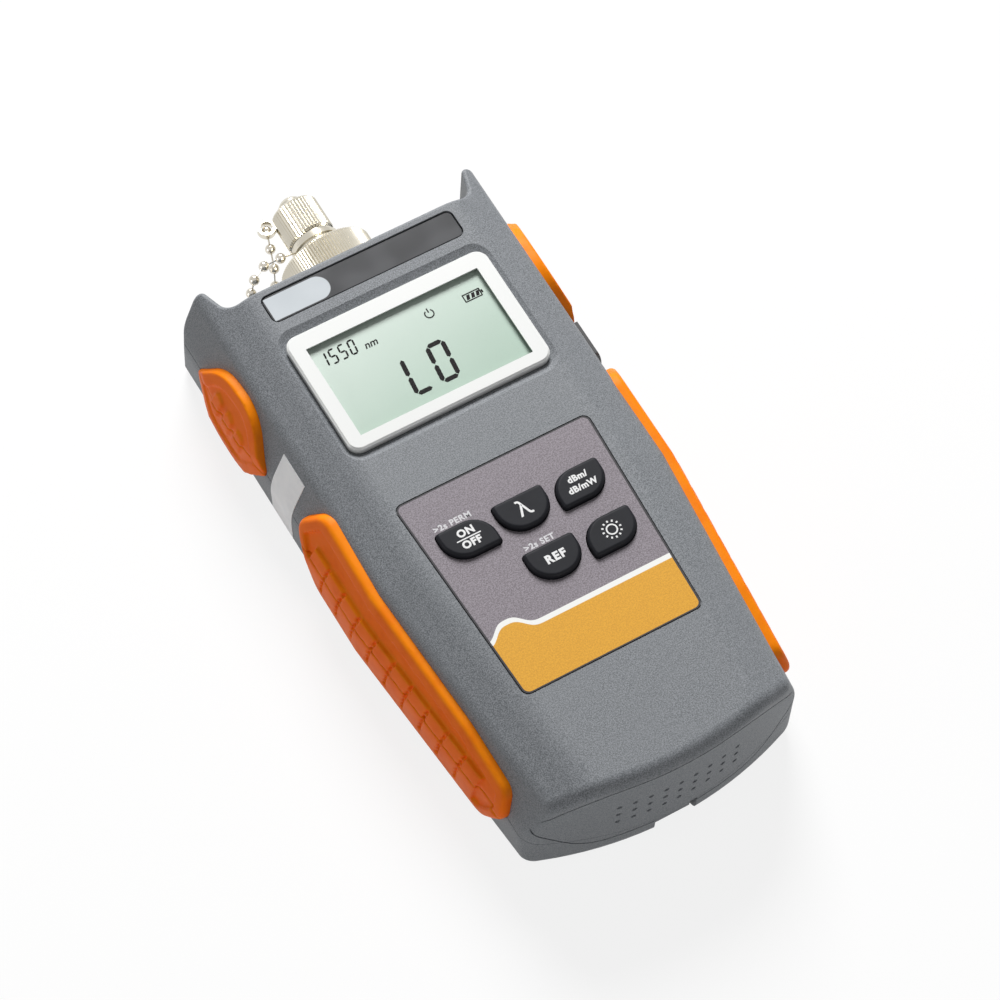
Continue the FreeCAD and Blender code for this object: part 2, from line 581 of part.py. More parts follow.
def door_corners(grow=0.0):
    return rectangle(BAY_HALF, BAY_LOW, BAY_HIGH, DOOR_RADIUS - DOOR_BORDER, DOOR_BORDER + grow)


def latch_block(half, low, high, y_out, y_in):
    return block((-half, y_out, low), (half, y_in, high))


def tab_slots():
    """Slots in the wall of the bay that take the door's two tabs."""
    low, high = DOOR_THICK - 2 * FIT, WALL + TAB_THICK + TAB_HEADROOM
    hinge = BAY_HIGH + DOOR_BORDER
    slot = block((TAB_IN - SEAT_GAP, BAY_HIGH - 0.6, low), (TAB_OUT + SEAT_GAP, hinge + SEAM_GAP / 4, high))
    return both_sides(slot)


def battery_door():
    plate = pillar(door_corners(-FIT), 0, DOOR_THICK)
    latch_in = CASE_END + LATCH_SINK + LATCH_THICK
    neck = latch_block(LATCH_HALF, 0, DOOR_THICK, latch_in - JOIN, BAY_LOW)
    tongue = latch_block(LATCH_HALF, 0, LATCH_TALL, CASE_END + LATCH_SINK, latch_in)
    brow = [e for e in top_edges(tongue, LATCH_TALL) if e.BoundBox.YMax < latch_in - HAIR]
    tongue = tongue.makeFillet(LATCH_ROUND, brow)
    low, high = WALL + FIT, WALL + FIT + TAB_THICK
    riser = block((TAB_IN, BAY_HIGH - SEAT_GAP, DOOR_THICK - JOIN), (TAB_OUT, BAY_HIGH + 0.9, high))
    foot = block((TAB_IN, BAY_HIGH, low), (TAB_OUT, BAY_HIGH + DOOR_BORDER + TAB_REACH, high))
    return joined([plate, neck, tongue] + both_sides(riser.fuse(foot)))


def door_opening():
    latch_in = CASE_END + LATCH_SINK + LATCH_THICK + SEAT_GAP
    recess = pillar(door_corners(), -THROUGH, DOOR_THICK + FIT)
    neck = latch_block(LATCH_HALF + 2 * FIT, -THROUGH, DOOR_THICK + FIT, latch_in - THROUGH, BAY_LOW)
    notch = latch_block(LATCH_HALF + SEAT_GAP, -THROUGH, NOTCH_TALL, CASE_END - 5 * THROUGH, latch_in)
    return joined([recess, neck, notch, bay_box(0, -THROUGH, BAY_ROOF)] + tab_slots())


def cell_columns():
    return (-CELL_PITCH, 0.0, CELL_PITCH)


def cells():
    """Cells that lie side by side, every second one turned round."""
    shapes, start = [], BAY_LOW + CELL_START
    for i, x in enumerate(cell_columns()):
        centre, turned = (x, CELL_FLOOR + CELL_RADIUS), i % 2
        first = start + turned * CELL_NUB
        last = first + CELL_LONG
        nub = (start, first + JOIN) if turned else (last - JOIN, last + CELL_NUB)
        shapes.append(rod(CELL_RADIUS, first, last, centre).fuse(rod(CELL_NUB_RADIUS, *nub, centre)))
    return Part.makeCompound(shapes)


def contact(x, wall, step, reach):
    """A plate against an end wall of the bay, with a pad that goes out to the cell."""
    z, half = CELL_FLOOR + CELL_RADIUS, CONTACT_WIDE / 2
    ends = sorted((wall, wall + step * CONTACT_THICK))
    tips = sorted((wall + step * CONTACT_THICK / 2, wall + step * reach))
    plate = block((x - half, ends[0], z - half), (x + half, ends[1], z + half))
    return plate.fuse(rod(CONTACT_PAD, *tips, (x, z)))


def contacts():
    low_reach = CELL_START - CONTACT_GAP
    high_reach = BAY_HIGH - BAY_LOW - CELL_START - CELL_LONG - CELL_NUB - CONTACT_GAP
    shapes = [contact(x, BAY_LOW, 1, low_reach) for x in cell_columns()]
    shapes += [contact(x, BAY_HIGH, -1, high_reach) for x in cell_columns()]
    return Part.makeCompound(shapes)


# ---- shells ----------------------------------------------------------------------------------------------
def posts(radius, low, high, centres):
    return [post(radius, low, high, c) for c in centres]


def cover_hole(grow=0.0):
    return block((CASE_HALF - COVER_BASE, COVER_LOW - grow, COVER_Z - COVER_TALL / 2 - grow),
                 (REACH, COVER_HIGH + grow, COVER_Z + COVER_TALL / 2 + grow))


def case_cuts():
    """What passes through the joint: the port's hole, the cover's recess and the socket's hole."""
    port_hole = rod(BARREL_RADIUS + FIT, CASE_TOP - 3 * WALL, HORN_TIP)
    recess = cover_hole().cut(barrel(-COVER_DEEP))
    middle = (COVER_LOW + COVER_HIGH) / 2
    wide, tall = SOCKET_WIDE / 2 + FIT, SOCKET_TALL / 2 + FIT
    socket_hole = block((CASE_HALF / 2, middle - wide, COVER_Z - tall),
                        (REACH, middle + wide, COVER_Z + tall))
    return [port_hole, recess, socket_hole]


def moulding(pocket):
    """The outside of the case as one form, before it is hollowed and parted."""
    form = case_form()
    form = form.makeFillet(END_ROUND, end_rim(form))
    form = form.makeFillet(HORN_ROUND, port_rim(form))
    form = form.cut(Part.makeCompound([panel_groove(), dimples()])).cut(grip_pockets(pocket))
    for cut in case_cuts():
        form = form.cut(cut)
    return form


def within(end):
    """A box that keeps the tongue inside the bowed end and the wall that carries the port."""
    return block((-REACH, CASE_END, 0), (REACH, end, REACH))


def front_shell(form, inner, tongue_skin):
    front = form.cut(below_seam(SEAM_GAP / 2)).cut(inner)
    rebate = tongue_skin.common(below_seam(LIP + SEAM_GAP)).common(within(CASE_TOP - WALL + LIP))
    roof = CASE_DEPTH - WALL + FLOOR_SINK
    bosses = posts(POST_RADIUS, SEAM, roof, SCREWS) + posts(BOARD_BOSS, BOARD_TOP, roof, BOARD_SCREWS)
    front = front.cut(rebate).fuse(joined([b.common(barrel(-WALL / 2)) for b in bosses]))
    strip = rectangle(STRIP_HALF, STRIP_LOW, STRIP_HIGH, STRIP_RADIUS)
    cuts = [display_opening(), pillar(strip, CASE_DEPTH - STRIP_SINK, REACH),
            pillar(plate_corners(), CASE_DEPTH - PLATE_THICK, REACH), key_holes(CASE_DEPTH - 2 * WALL)]
    cuts += posts(SCREW_RADIUS, SEAM - THROUGH, SCREW_SINK + SCREW_LONG + THROUGH, SCREWS)
    cuts += posts(BOARD_SCREW, BOARD_TOP - THROUGH, BOARD_TOP + BOARD_SCREW_BITE, BOARD_SCREWS)
    return front.cut(Part.makeCompound(cuts))


def rear_shell(form, inner, tongue_skin):
    rear = form.common(below_seam(-SEAM_GAP / 2)).cut(inner)
    tongue = tongue_skin.cut(inner).common(below_seam(LIP)).cut(below_seam(-2 * LIP))
    bay = bay_box(BAY_WALL, FLOOR_SINK, BAY_ROOF + BAY_WALL)
    feet = [p.common(barrel(-WALL / 2)) for p in posts(POST_RADIUS, FLOOR_SINK, SEAM - FIT, SCREWS)]
    rear = joined([rear, bay, tongue.common(within(CASE_TOP - WALL))] + feet)
    for cut in case_cuts():
        rear = rear.cut(cut)
    holes = posts(SCREW_RADIUS + SCREW_FIT, -THROUGH, SEAM + THROUGH, SCREWS)
    holes += posts(SCREW_HEAD + SCREW_FIT, -THROUGH, SCREW_SINK + SCREW_HEAD_TALL, SCREWS)
    return rear.cut(joined([door_opening()] + holes))


def shells(pocket):
    form, inner = moulding(pocket), cavity()
    tongue_skin = barrel(-WALL + LIP).common(end_bow(-WALL + LIP))
    return {"front_shell": front_shell(form, inner, tongue_skin),
            "rear_shell": rear_shell(form, inner, tongue_skin)}


def case_screws():
    shapes = []
    for c in SCREWS:
        head = post(SCREW_HEAD, SCREW_SINK, SCREW_SINK + SCREW_HEAD_TALL, c)
        shapes.append(head.fuse(post(SCREW_RADIUS, SCREW_SINK, SCREW_SINK + SCREW_LONG, c)))
    return Part.makeCompound(shapes)


# ---- optical port -----------------------------------------------------------------------------------
def knurled(radius, start, end, teeth, depth, bevel):
    """A straight-knurled roller with bevelled ends: a star drawn at four places along the port."""
    def star(at, size):
        spots = []
        for i in range(2 * teeth):
            r, a = size * (radius - (depth if i % 2 else 0.0)), math.pi * i / teeth
            spots.append(V(PORT_X + r * math.cos(a), at, PORT_Z + r * math.sin(a)))
        return spots
    small = 1 - bevel / radius
    return faceted([star(start, small), star(start + bevel, 1.0), star(end - bevel, 1.0), star(end, small)])


def pipe(outer, inner, start, end):
    return rod(outer, start, end).cut(rod(inner, start - THROUGH, end + THROUGH))


def detector():
    """The photodiode in its barrel, with the small card that carries its leads."""
    inside, can_end = CASE_TOP - WALL, BARREL_END - CAN_ROOF - FIT
    flange = rod(FLANGE_RADIUS, inside - FLANGE_THICK - FIT, inside - FIT)
    body = flange.fuse(rod(BARREL_RADIUS, inside - FLANGE_THICK, BARREL_END))
    body = body.cut(rod(CAN_RADIUS + SEAT_GAP, inside - 2 * WALL, BARREL_END - CAN_ROOF))
    body = body.cut(rod(CAN_WINDOW, inside, BARREL_END + THROUGH))
    rim = rod(CAN_RADIUS + CAN_RIM, can_end - CAN_LONG, can_end - CAN_LONG + CAN_RIM_THICK)
    can = rim.fuse(rod(CAN_RADIUS, can_end - CAN_LONG, can_end))
    leads = [(PORT_X + dx, PORT_Z + dz) for dx, dz in ((-LEAD_PITCH, 0), (LEAD_PITCH, 0), (0, LEAD_PITCH))]
    low, high = CARD_Y - CARD_THICK, BOARD_TOP - BOARD_THICK
    pins = [rod(LEAD_RADIUS, low - LEAD_PROUD, can_end - CAN_LONG + LEAD_FIT, at) for at in leads]
    card = block((-CARD_HALF, low, high - CARD_TALL), (CARD_HALF, CARD_Y, high))
    holes = [rod(LEAD_RADIUS + LEAD_FIT, low - THROUGH, CARD_Y + THROUGH, at) for at in leads]
    return {"detector_barrel": body, "photodiode": can, "photodiode_leads": Part.makeCompound(pins),
            "detector_card": card.cut(Part.makeCompound(holes))}


def adapter():
    """The fixed neck with its ceramic sleeve, and the knurled ring that turns round both diameters."""
    neck = rod(NECK_RADIUS, BARREL_END, NECK_END).fuse(rod(NOSE_RADIUS, NECK_END - JOIN, NOSE_END))
    neck = neck.cut(rod(SLEEVE_RADIUS + SLEEVE_FIT, SLEEVE_START, NOSE_END + THROUGH))
    neck = neck.cut(rod(STOP_RADIUS, BARREL_END - THROUGH, NOSE_END))
    ring = knurled(RING_RADIUS, RING_START, RING_END, RING_TEETH, RING_TOOTH, RING_BEVEL)
    ring = ring.cut(rod(BARREL_RADIUS + RUNNING_FIT, RING_START - THROUGH, BARREL_END + SEAT_GAP))
    ring = ring.cut(rod(NECK_RADIUS + RUNNING_FIT, BARREL_END - THROUGH, RING_END + THROUGH))
    return {"adapter_neck": neck, "adapter_ring": ring,
            "ferrule_sleeve": pipe(SLEEVE_RADIUS, FERRULE_RADIUS, SLEEVE_START, SLEEVE_END)}


def cap():
    body = knurled(CAP_RADIUS, CAP_START, CAP_END, CAP_TEETH, CAP_TOOTH, CAP_BEVEL)
    body = body.cut(rod(CAP_BORE, CAP_START - THROUGH, NOSE_END + 0.5))
    dome = Part.makeSphere(STUD_DOME, V(PORT_X, CAP_END + STUD_TALL - STUD_DOME, PORT_Z))
    stud = dome.common(rod(STUD_RADIUS, CAP_END, CAP_END + STUD_TALL + THROUGH))
    low, high, centre = PORT_Z - EYE_LONG / 2, PORT_Z + EYE_LONG / 2, (EYE_X, EYE_Y)
    lug = block((EYE_X, EYE_Y - EYE_LUG, low), (PORT_X, EYE_Y + EYE_LUG, high))
    eye = post(EYE_RADIUS, low, high, centre).fuse(lug)
    eye = eye.cut(post(EYE_BORE, low - THROUGH, high + THROUGH, centre))
    eye = eye.cut(rod(CAP_RADIUS, CAP_START - THROUGH, CAP_END + THROUGH))
    return {"dust_cap": body, "cap_stud": stud, "cap_eyelet": eye}


def bead(radius, centre):
    """A ball with flats."""
    steps = [(radius / 2, -0.866 * radius), (radius, 0.0), (radius / 2, 0.866 * radius)]
    return faceted([ring_of(BEAD_SIDES, r, V(*centre) + ALONG_Z * z, ALONG_X, ALONG_Y) for r, z in steps])


def link(start, stop, start_gap, stop_gap):
    """Straight wire between two places, begun and ended short of them."""
    a, b = V(*start), V(*stop)
    along = (b - a).normalize()
    first = along.cross(ALONG_X).normalize()
    ends = (a + along * start_gap, b - along * stop_gap)
    return faceted([ring_of(WIRE_SIDES, CHAIN_WIRE / 2, end, first, along.cross(first)) for end in ends])


def chain():
    """Beads and wires, and the wire loop that holds the last bead to the neck."""
    gap, last = CHAIN_BALL - LINK_SINK, CHAIN[-1]
    balls = [bead(CHAIN_BALL * (END_BEAD if i == 0 else 1.0), p) for i, p in enumerate(CHAIN)]
    wires = [link(a, b, gap, gap) for a, b in zip(CHAIN, CHAIN[1:])]
    inner = NECK_RADIUS + LOOP_GAP
    loop = pipe(inner + LOOP_WIRE, inner, last[1] - LOOP_WIRE, last[1] + LOOP_WIRE)
    loop = loop.fuse(link(last, (PORT_X, last[1], PORT_Z), gap, inner + LOOP_WIRE / 2))
    return {"chain_balls": Part.makeCompound(balls), "chain_links": Part.makeCompound(wires),
            "chain_loop": loop}


# ---- socket, cover, label -------------------------------------------------------------------------------
def socket_and_cover():
    middle, wide, tall, s = (COVER_LOW + COVER_HIGH) / 2, SOCKET_WIDE / 2, SOCKET_TALL / 2, SOCKET_SHELL
    outer = CASE_HALF - COVER_DEEP
    inner = outer - SOCKET_DEEP
    box = block((inner, middle - wide, COVER_Z - tall), (outer, middle + wide, COVER_Z + tall))
    hole = block((inner + SOCKET_BACK, middle - wide + s, COVER_Z - tall + s),
                 (outer + THROUGH, middle + wide - s, COVER_Z + tall - s))
    cover = cover_hole(-FIT).common(barrel(COVER_PROUD)).cut(barrel(-COVER_DEEP + FIT))
    return {"data_socket": box.cut(hole).common(barrel(-COVER_DEEP - FIT)), "socket_cover": cover}


def seal_label():
    corners = [(LABEL_LOW, LABEL_BOTTOM, 0), (LABEL_HIGH, LABEL_BOTTOM, 0), (LABEL_HIGH, LABEL_TOP, 0),
               (LABEL_LOW, LABEL_TOP, 0)]
    return both_sides(side_region(rounded(corners, side())))[1].common(barrel(LABEL_THICK)).cut(barrel())


def build():
    pocket = barrel(-GRIP_POCKET)
    parts = dict(shells(pocket))
    parts.update(grips(pocket))
    parts.update(display())
    parts.update(keys())
    parts.update(board())
    parts.update(detector())
    parts.update(adapter())
    parts.update(cap())
    parts.update(chain())
    parts.update(socket_and_cover())
    parts.update({"keypad_plate": keypad_plate(), "name_strip": name_strip(), "keypad_mat": keypad_mat(),
                  "key_domes": domes(), "battery_door": battery_door(), "battery_cells": cells(),
                  "battery_contacts": contacts(), "case_screws": case_screws(), "seal_label": seal_label()})
    return parts


def main():
    os.makedirs("parts", exist_ok=True)
    for name, shape in build().items():
        shape = shape.copy()
        shape.translate(ORIGIN_SHIFT)
        shape.exportStep(os.path.join("parts", name + ".step"))
    print("origin shift", ORIGIN_SHIFT)


main()
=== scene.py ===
# %% [markdown]
# # A handheld optical power meter
#
# The construction comes from a CAD model: every rigid piece is already there at its real size. This script gives the
# pieces their finishes, adds what is printed or moulded too finely for CAD, and sets up a plain studio round them.
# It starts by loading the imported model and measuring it, so that every later place can come from a real piece.
# Lengths are written in millimetres and turned into metres by MM where Blender needs them.

# %% Load the frame
import math

import bmesh
import bpy
from mathutils import Matrix, Vector


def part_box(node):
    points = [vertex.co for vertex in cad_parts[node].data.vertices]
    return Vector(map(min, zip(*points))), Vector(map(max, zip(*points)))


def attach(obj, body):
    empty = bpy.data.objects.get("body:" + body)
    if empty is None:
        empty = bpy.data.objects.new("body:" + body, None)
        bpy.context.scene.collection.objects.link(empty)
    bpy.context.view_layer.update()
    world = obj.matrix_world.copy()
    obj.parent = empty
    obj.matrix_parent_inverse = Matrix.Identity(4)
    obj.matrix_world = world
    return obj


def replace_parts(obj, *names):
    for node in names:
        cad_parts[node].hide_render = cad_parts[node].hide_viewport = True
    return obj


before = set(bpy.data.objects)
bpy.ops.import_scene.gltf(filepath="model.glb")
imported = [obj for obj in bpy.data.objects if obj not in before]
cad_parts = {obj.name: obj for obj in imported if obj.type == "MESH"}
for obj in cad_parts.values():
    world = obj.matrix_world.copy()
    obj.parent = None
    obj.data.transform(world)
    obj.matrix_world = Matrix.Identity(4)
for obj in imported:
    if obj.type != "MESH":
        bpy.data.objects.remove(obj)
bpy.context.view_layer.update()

MM = 0.001


def low(node):
    """The lowest corner of a CAD node, in millimetres."""
    return Vector(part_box(node)[0]) / MM


def high(node):
    """The highest corner of a CAD node, in millimetres."""
    return Vector(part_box(node)[1]) / MM


def middle(node):
    return (low(node) + high(node)) / 2


# %% [markdown]
# ## Camera
#
# The meter lies on its back and is looked at from high up, a little from its left and from below its keypad. A long
# lens keeps the case's edges nearly parallel, as in a catalogue picture. The camera is aimed at a point on the case
# and then rolled a few degrees, which is easier to read and to change than a matrix of nine numbers.

# %% Camera
CAMERA_AT = Vector((-265.2, -393.0, 883.1)) * MM
CAMERA_LOOKS_AT = Vector((1.9, -6.4, 16.5)) * MM
CAMERA_ROLL = math.radians(4.935)
LENS = 158.07

lens = bpy.data.cameras.new("camera_lens")
lens.lens = LENS
camera = bpy.data.objects.new("camera", lens)
bpy.context.scene.collection.objects.link(camera)
aim = (CAMERA_LOOKS_AT - CAMERA_AT).to_track_quat("-Z", "Y").to_matrix().to_4x4()
camera.matrix_world = Matrix.Translation(CAMERA_AT) @ aim @ Matrix.Rotation(CAMERA_ROLL, 4, "Z")
bpy.context.scene.camera = camera
print("camera is", round((CAMERA_LOOKS_AT - CAMERA_AT).length, 3), "m from the meter")


# %% [markdown]
# ## A small language for materials
#
# A material is a graph of nodes. Written node by node it is long and hard to read, so two small classes help. `Value`
# wraps one output socket and lets Python's own operators add the Math nodes, so `1 - mask * 0.5` means what it says.
# `Finish` owns a material and has one method, `node`, that adds any other node from its type, its settings and what
# its inputs are set to or linked from.

# %% Value and Finish
class Value:
    """One output socket that can be used in arithmetic."""

    def __init__(self, finish, socket):
        self.finish, self.socket = finish, socket

    def math(self, operation, *values):
        return self.finish.node("ShaderNodeMath", {"operation": operation}, dict(enumerate(values)))

    def __add__(self, other): return self.math("ADD", self, other)
    def __radd__(self, other): return self.math("ADD", other, self)
    def __sub__(self, other): return self.math("SUBTRACT", self, other)
    def __rsub__(self, other): return self.math("SUBTRACT", other, self)
    def __mul__(self, other): return self.math("MULTIPLY", self, other)
    def __rmul__(self, other): return self.math("MULTIPLY", other, self)
    def __truediv__(self, other): return self.math("DIVIDE", self, other)
    def __neg__(self): return self.math("MULTIPLY", self, -1.0)
    def __abs__(self): return self.math("ABSOLUTE", self)
    def most(self, other): return self.math("MAXIMUM", self, other)
    def root(self): return self.math("SQRT", self)
    def exp(self): return self.math("EXPONENT", self)

    def ramp(self, start, stop):
        """0 below start, 1 above stop and a smooth rise between them."""
        settings = {"interpolation_type": "SMOOTHSTEP"}
        return self.finish.node("ShaderNodeMapRange", settings, {"Value": self, "From Min": start, "From Max": stop})

    def past(self, edge, soft):
        """0 before an edge and 1 past it, blurred by soft on both sides."""
        return self.ramp(edge - soft, edge + soft)


class Finish:
    """A material, or the air of the studio, made of nodes."""

    def __init__(self, name, kind="materials"):
        self.kind = kind
        self.material = getattr(bpy.data, kind).new(name)
        self.material.use_nodes = True
        self.tree = self.material.node_tree
        self.tree.nodes.clear()

    def node(self, kind, settings=None, inputs=None, output=0):
        made = self.tree.nodes.new(kind)
        for name, value in (settings or {}).items():
            setattr(made, name, value)
        for name, value in (inputs or {}).items():
            if isinstance(value, Value):
                self.tree.links.new(value.socket, made.inputs[name])
            else:
                made.inputs[name].default_value = value
        return Value(self, made.outputs[output])

    def place(self):
        """Where the shaded point is on the object, in metres."""
        return self.node("ShaderNodeTexCoord", output=3)

    def apart(self, vector, unit=1.0):
        """X, Y and Z of a vector, counted in a unit."""
        split = self.node("ShaderNodeSeparateXYZ", inputs={0: vector}).socket.node
        return [Value(self, part) / unit for part in split.outputs]

    def on(self, node):
        """X and Y of the shaded point, and the corners of the CAD node that it is on, all in millimetres."""
        x, y, _ = self.apart(self.place(), MM)
        return x, y, low(node), high(node)

    def noise(self, size, detail=2.0, rough=0.5, where=None):
        """Cloudy noise whose blobs are about size millimetres across."""
        inputs = {"Vector": where or self.place(), "Scale": 1 / (size * MM), "Detail": detail, "Roughness": rough}
        return self.node("ShaderNodeTexNoise", None, inputs)

    def speckle(self, size, spread):
        """Fine grain, and the same grain with its contrast raised. A smaller spread has more contrast."""
        grain = self.noise(size, detail=3.0, rough=0.7)
        return grain, grain.past(0.5, spread)

    def mix(self, factor, first, second):
        """A colour between two colours."""
        return self.node("ShaderNodeMix", {"data_type": "RGBA"}, {0: factor, 6: first, 7: second}, output=2)

    def bump(self, height, depth):
        """A Normal from a height of 0 to 1 that stands for depth millimetres."""
        return self.node("ShaderNodeBump", None, {"Height": height, "Distance": depth * MM, "Strength": 1.0})

    def surface(self, **sockets):
        """Sets the Principled shader's sockets, spelt with underscores, and ends the graph."""
        inputs = {name.replace("_", " "): value for name, value in sockets.items()}
        return self.end(self.node("ShaderNodeBsdfPrincipled", None, inputs))

    def end(self, shader):
        out = self.tree.nodes.new("ShaderNodeOutput" + {"materials": "Material", "worlds": "World"}[self.kind])
        self.tree.links.new(shader.socket, out.inputs["Surface"])
        return self.material

    def seen(self):
        """1 where the eye looks straight, in a mirror or through glass, and 0 for light that only falls."""
        path = self.node("ShaderNodeLightPath").socket.node.outputs
        eye, mirror, glass = (Value(self, path[f"Is {ray} Ray"]) for ray in ("Camera", "Glossy", "Transmission"))
        return eye.most(mirror).most(glass)


def rgb(red, green, blue):
    """A colour as seen on a screen, 0 to 255, turned into the linear values that shaders use."""
    def linear(c):
        c /= 255
        return c / 12.92 if c <= 0.04045 else ((c + 0.055) / 1.055) ** 2.4
    return (linear(red), linear(green), linear(blue), 1.0)


def dress(material, *nodes):
    """Gives CAD nodes a material."""
    for name in nodes:
        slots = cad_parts[name].data.materials
        slots.clear()
        slots.append(material)
    print(material.name, "on", len(nodes), "nodes")


# %% [markdown]
# ## Case plastic
#
# The case is injection moulded in slate grey, and the mould has a fine spark-eroded grain. From a hand's distance it
# shows as a speckle of lighter and darker points rather than as relief. One noise makes the speckle, a wider one
# clouds it a little, the speckle's noise also gives a very shallow bump, and the roughness follows it so that
# highlights break up.

# %% Case plastic
def case_plastic():
    f = Finish("case_plastic")
    grain, speck = f.speckle(0.28, 0.16)
    cloud = f.noise(9.0)
    colour = f.mix(speck, rgb(90, 94, 98), rgb(146, 149, 153))
    colour = f.mix(cloud.ramp(0.35, 0.75) * 0.2, colour, rgb(126, 129, 133))
    return f.surface(Base_Color=colour, Roughness=0.44 + speck * 0.16, Normal=f.bump(grain, 0.05),
                     Specular_IOR_Level=0.3)


dress(case_plastic(), "front_shell", "rear_shell", "battery_door")

# %% [markdown]
# ## Rubber grips
#
# The grips are moulded in soft orange rubber. Rubber has a broad, weak sheen and picks up slight streaks where hands
# rub it. The rims stand proud and look yellower because they catch the light from above, so the colour leans to
# yellow where the surface faces up, and a coarse noise adds the streaks.

# %% Grip rubber
GRIPS = [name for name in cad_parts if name.startswith("grip_")]


def grip_rubber():
    f = Finish("grip_rubber")
    streak = f.noise(6.0, detail=3.0, rough=0.6)
    grain = f.noise(0.5)
    normal = f.node("ShaderNodeNewGeometry", output=1)
    up = f.apart(normal)[2]
    colour = f.mix(up.ramp(0.15, 0.9), rgb(252, 112, 6), rgb(250, 138, 6))
    colour = f.mix(streak.ramp(0.4, 0.75) * 0.3, colour, rgb(232, 84, 4))
    return f.surface(Base_Color=colour, Roughness=0.42 + streak * 0.15, Normal=f.bump(grain, 0.02),
                     Specular_IOR_Level=0.12)


GRIP_RUBBER = grip_rubber()
dress(GRIP_RUBBER, *GRIPS)

# %% [markdown]
# ## Melted edges
#
# Rubber comes out of its mould without a hard edge. Each grip is rebuilt on a fine grid of cells and then smoothed a
# few times, which melts the edges of its rim, pads and scales together. The modifiers are baked into the mesh, and
# the new piece takes the place of the CAD one.

# %% Melted edges
GRIP_CELL, KEY_CELL = 0.35, 0.2
SMOOTHING_TURNS = 5


def piece_of(name, data, material, body, at=(0.0, 0.0, 0.0)):
    """A new object, from a mesh or a text, that moves with a body. Its place is in millimetres."""
    data.materials.clear()
    data.materials.append(material)
    piece = bpy.data.objects.new(name, data)
    bpy.context.scene.collection.objects.link(piece)
    piece.location = Vector(at) * MM
    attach(piece, body)
    return piece


def melted(node, cell):
    """A copy of a CAD piece's mesh, rebuilt on a grid of cells and smoothed."""
    rough = bpy.data.objects.new(node + "_rough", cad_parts[node].data.copy())
    bpy.context.scene.collection.objects.link(rough)
    rough.matrix_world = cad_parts[node].matrix_world
    grid = rough.modifiers.new("grid", "REMESH")
    grid.mode, grid.voxel_size, grid.use_smooth_shade = "VOXEL", cell * MM, True
    melt = rough.modifiers.new("melt", "SMOOTH")
    melt.factor, melt.iterations = 0.5, SMOOTHING_TURNS
    bpy.context.view_layer.update()
    mesh = bpy.data.meshes.new_from_object(rough.evaluated_get(bpy.context.evaluated_depsgraph_get()))
    mesh.transform(rough.matrix_world)
    bpy.data.objects.remove(rough)
    return mesh


def soften(node, cell, material, body):
    """Puts a melted piece in the place of a CAD one."""
    soft = piece_of(node + "_soft", melted(node, cell), material, body)
    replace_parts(soft, node)
    print(node, "has", len(soft.data.polygons), "faces")


for node in GRIPS:
    soften(node, GRIP_CELL, GRIP_RUBBER, "case")

# %% [markdown]
# ## Display
#
# A glossy white frame holds a clear lens, and behind it lies the display glass. A liquid-crystal display that is lit
# by the room looks pale green-grey, and the light falls off across it, mostly from the top down, so a ramp along one
# slanted direction is enough. Its figures are separate pieces further down.

# %% Bezel, lens and display glass
FALLS_ACROSS, FALLS_DOWN = 0.35, 0.65     # how much of the ramp runs to the right and how much down


def bezel_white():
    f = Finish("bezel_white")
    tone = f.noise(14.0)
    return f.surface(Base_Color=f.mix(tone * 0.3, rgb(234, 235, 233), rgb(226, 227, 226)), Roughness=0.22,
                     Coat_Weight=0.4, Coat_Roughness=0.08)


def display_glass():
    f = Finish("display_glass")
    x, y, lo, hi = f.on("lcd_panel")
    across, along = (x - lo.x) / (hi.x - lo.x), (y - lo.y) / (hi.y - lo.y)
    slope = (across * FALLS_ACROSS + (1 - along) * FALLS_DOWN).ramp(0.0, 1.0)
    colour = f.mix(slope, rgb(214, 228, 218), rgb(180, 204, 188))
    return f.surface(Base_Color=colour, Roughness=0.35, Specular_IOR_Level=0.3)


def clear_lens():
    f = Finish("clear_lens")
    haze = f.noise(20.0)
    return f.surface(Base_Color=rgb(30, 34, 32), Roughness=0.04 + haze * 0.04, Alpha=0.02 + haze * 0.02)


dress(bezel_white(), "display_bezel")
dress(display_glass(), "lcd_panel")
dress(clear_lens(), "display_lens")

# %% [markdown]
# ## Name strip
#
# The strip above the display is a dark glossy inlay with a pale patch at its left end. Whatever a maker would print
# there is left out. The patch has a rounded right end: it is all that lies within a radius of a line segment, less a
# thin dark rim.

# %% Name strip
PATCH_LONG = 12.6                         # from the strip's left end to the middle of the patch's round end
PATCH_RIM = 0.35


def name_strip():
    f = Finish("strip_gloss")
    x, y, lo, hi = f.on("name_strip")
    radius = (hi.y - lo.y) / 2
    beyond = (x - (lo.x + PATCH_LONG)).most(0.0)
    drop = y - (lo.y + hi.y) / 2
    reach = (beyond * beyond + drop * drop).root()
    patch = (1 - reach.past(radius - PATCH_RIM, 0.075)) * (x - lo.x).past(PATCH_RIM, 0.05)
    sheen = f.noise(11.0, detail=1.0)
    dark = f.mix(sheen.ramp(0.4, 0.7), rgb(42, 43, 46), rgb(66, 67, 70))
    pale = f.mix(sheen, rgb(206, 212, 216), rgb(186, 192, 197))
    return f.surface(Base_Color=f.mix(patch, dark, pale), Roughness=0.16, Coat_Weight=0.6, Coat_Roughness=0.05)


dress(name_strip(), "name_strip")

# %% [markdown]
# ## Keypad film
#
# The film round the keys is printed on its back in a mauve grey with a fine speckle. A white line crosses it near the
# bottom, with a low hump at its left end, and below the line the film is yellow. The line is a curve of X, so no
# outline is needed: the point's Y is compared with the curve. The hump is a bell curve with a flat top. A thin dark
# edge runs round the film, found by its distance to a rounded outline whose sides lean in a little.

